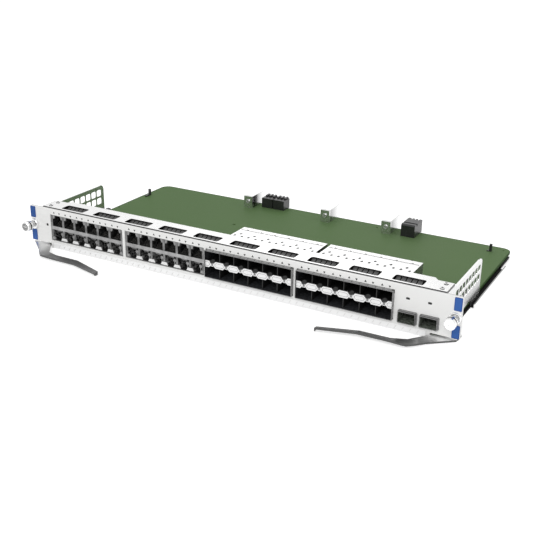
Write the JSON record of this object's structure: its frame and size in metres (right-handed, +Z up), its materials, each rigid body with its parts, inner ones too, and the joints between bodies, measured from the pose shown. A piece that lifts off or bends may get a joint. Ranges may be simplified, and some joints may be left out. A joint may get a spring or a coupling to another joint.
{
  "type": "switch line card",
  "caption": "Plug-in network line card: front panel with stacked jacks and module cages, captive thumbscrews, two ejector levers, perforated side brackets, long circuit board on a shallow tray",
  "frame": {"origin": "midway between the two captive screws, on the rear seating face of the front panel", "axes": "+X along the panel to the viewer's right, +Y from the panel back along the board, +Z up"},
  "size_m": [0.4336, 0.2563, 0.0412],
  "materials": {
    "panel_paint": "light grey textured paint",
    "zinc_plate": "pale plated sheet steel",
    "steel_screws": "plated steel",
    "nickel": "polished nickel plate",
    "lever_steel": "stamped steel, satin",
    "cage_metal": "tin plated sheet",
    "black_plastic": "matt black moulding",
    "light_plastic": "translucent white moulding",
    "lens_plastic": "smoked lens",
    "blue_plastic": "blue colour strip",
    "gasket_metal": "plated spring strip",
    "board_green": "green solder resist",
    "insulator": "black film",
    "standoff_brass": "turned brass",
    "contact_gold": "gold plated wire",
    "guide_metal": "cast, satin"
  },
  "bodies": {
    "card": {"base_tray": "zinc_plate", "board_screws": "steel_screws", "board_standoffs": "standoff_brass", "bracket_corner_clip": "black_plastic", "bracket_rivets": "steel_screws", "cage_feet": "steel_screws", "circuit_board": "board_green", "end_strips": "blue_plastic", "front_panel": "panel_paint", "guide_screws": "steel_screws", "host_connectors": "black_plastic", "insulating_sheet": "insulator", "jack_light_windows": "light_plastic", "jack_pins": "steel_screws", "left_board_clip": "black_plastic", "left_cage_bands": "light_plastic", "left_cage_bezel": "light_plastic", "left_cage_dividers": "cage_metal", "left_cage_shell": "cage_metal", "left_jack_contacts": "contact_gold", "left_jack_housing": "black_plastic", "left_jack_shield": "cage_metal", "left_lever_rivet": "steel_screws", "left_screw_ferrule": "nickel", "left_screw_spring": "nickel", "left_side_bracket": "zinc_plate", "left_single_cage": "cage_metal", "paired_connectors": "black_plastic", "rear_guides": "guide_metal", "right_board_clip": "black_plastic", "right_cage_bands": "light_plastic", "right_cage_bezel": "light_plastic", "right_cage_dividers": "cage_metal", "right_cage_shell": "cage_metal", "right_jack_contacts": "contact_gold", "right_jack_housing": "black_plastic", "right_jack_shield": "cage_metal", "right_lever_rivet": "steel_screws", "right_screw_ferrule": "nickel", "right_screw_spring": "nickel", "right_side_bracket": "zinc_plate", "right_single_cage": "cage_metal", "single_cage_collars": "cage_metal", "single_connector": "black_plastic", "single_host_connectors": "black_plastic", "slot_spring_strips": "cage_metal", "spring_gasket": "gasket_metal", "status_lenses": "lens_plastic", "top_plate": "zinc_plate", "top_plate_screws": "steel_screws"},
    "left_washer": {"left_screw_washer": "nickel"},
    "right_washer": {"right_screw_washer": "nickel"},
    "left_screw": {"left_captive_screw": "nickel"},
    "right_screw": {"right_captive_screw": "nickel"},
    "left_lever_body": {"left_lever": "lever_steel"},
    "right_lever_body": {"right_lever": "lever_steel"}
  },
  "joints": [
    {"name": "left_screw_press", "type": "slide", "parent": "card", "child": "left_washer", "axis": [0, 1, 0], "range_m": [0, 0.0035], "stiffness_N_per_m": 300, "springref_m": -0.004, "deforming": ["left_screw_spring"]},
    {"name": "left_screw_turn", "type": "hinge", "parent": "left_washer", "child": "left_screw", "pos_m": [-0.2117, -0.01, 0], "axis": [0, 1, 0], "continuous": true},
    {"name": "left_lever_pivot", "type": "hinge", "parent": "card", "child": "left_lever_body", "pos_m": [-0.2069, 0.0043, -0.01925], "axis": [0, 0, -1], "range_deg": [0, 40]},
    {"name": "right_screw_press", "type": "slide", "parent": "card", "child": "right_washer", "axis": [0, 1, 0], "range_m": [0, 0.0035], "stiffness_N_per_m": 300, "springref_m": -0.004, "deforming": ["right_screw_spring"]},
    {"name": "right_screw_turn", "type": "hinge", "parent": "right_washer", "child": "right_screw", "pos_m": [0.2117, -0.01, 0], "axis": [0, 1, 0], "continuous": true},
    {"name": "right_lever_pivot", "type": "hinge", "parent": "card", "child": "right_lever_body", "pos_m": [0.2069, 0.0043, -0.01925], "axis": [0, 0, 1], "range_deg": [0, 40]}
  ]
}
